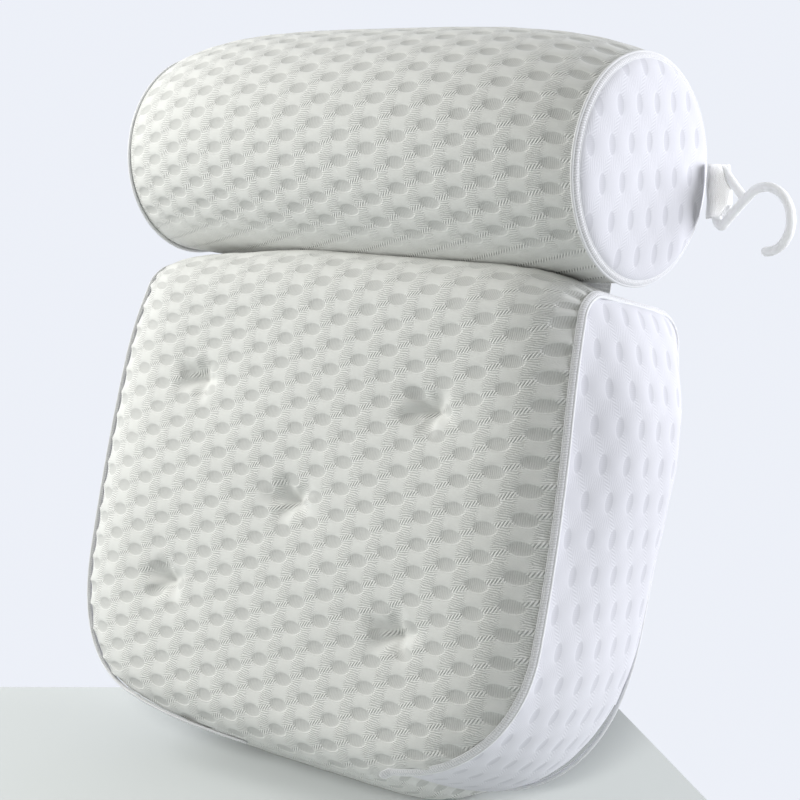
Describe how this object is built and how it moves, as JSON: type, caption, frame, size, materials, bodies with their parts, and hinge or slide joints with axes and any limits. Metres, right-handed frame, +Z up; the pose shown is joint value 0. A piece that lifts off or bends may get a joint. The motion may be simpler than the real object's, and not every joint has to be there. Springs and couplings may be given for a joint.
{
  "type": "bath pillow",
  "caption": "White mesh bath pillow: a thick tufted back pad with a neck roll on top, suction cups on its flat back and a hanging hook in a webbing tab.",
  "frame": {"origin": "on the floor, under the middle of the pad's resting edge, half-way across its width", "axes": "+X to the right as seen from the front, +Y to the back, +Z up; the tufted front faces -Y and the flat back leans back by 14 degrees"},
  "size_m": [0.4234, 0.2181, 0.4374],
  "materials": {
    "cover_mesh": "white dimpled spacer mesh",
    "side_mesh": "white dimpled spacer mesh, turned",
    "binding_tape": "white overlocked edging",
    "stuffing": "loose fibre",
    "webbing": "white woven webbing",
    "white_plastic": "smooth moulded",
    "cup_vinyl": "clear soft vinyl"
  },
  "bodies": {
    "pad": {"pad_front_cover": "cover_mesh", "pad_side_strip_left": "side_mesh", "pad_side_strip_right": "side_mesh", "pad_back_cover": "cover_mesh", "pad_filling": "stuffing", "side_binding_left": "binding_tape", "side_binding_right": "binding_tape", "joining_tape": "binding_tape", "tuft_tie_upper_left": "binding_tape", "tuft_tie_upper_right": "binding_tape", "tuft_tie_middle": "binding_tape", "tuft_tie_lower_left": "binding_tape", "tuft_tie_lower_right": "binding_tape", "suction_cup_lower_left": "cup_vinyl", "suction_cup_lower_right": "cup_vinyl", "suction_cup_upper_left": "cup_vinyl", "suction_cup_upper_right": "cup_vinyl", "cup_eyelet_lower_left": "white_plastic", "cup_eyelet_lower_right": "white_plastic", "cup_eyelet_upper_left": "white_plastic", "cup_eyelet_upper_right": "white_plastic"},
    "roll": {"roll_barrel_cover": "cover_mesh", "roll_filling": "stuffing", "roll_end_left": "side_mesh", "roll_end_right": "side_mesh", "roll_binding_left": "binding_tape", "roll_binding_right": "binding_tape", "suction_cup_roll_left": "cup_vinyl", "suction_cup_roll_right": "cup_vinyl", "cup_eyelet_roll_left": "white_plastic", "cup_eyelet_roll_right": "white_plastic"},
    "tab": {"webbing_tab": "webbing"},
    "hook": {"hook": "white_plastic"}
  },
  "joints": [
    {"name": "roll_fold", "type": "hinge", "parent": "pad", "child": "roll", "pos_m": [0, 0.09822, 0.32709], "axis": [-1, 0, 0], "range_deg": [0, 85]},
    {"name": "tab_flex", "type": "hinge", "parent": "roll", "child": "tab", "pos_m": [0.1787, 0.09927, 0.34497], "axis": [0, 0, 1], "range_deg": [-20, 50]},
    {"name": "hook_swing", "type": "hinge", "parent": "tab", "child": "hook", "pos_m": [0.18461, 0.09823, 0.34437], "axis": [0, 0, 1], "range_deg": [-50, 60]}
  ]
}
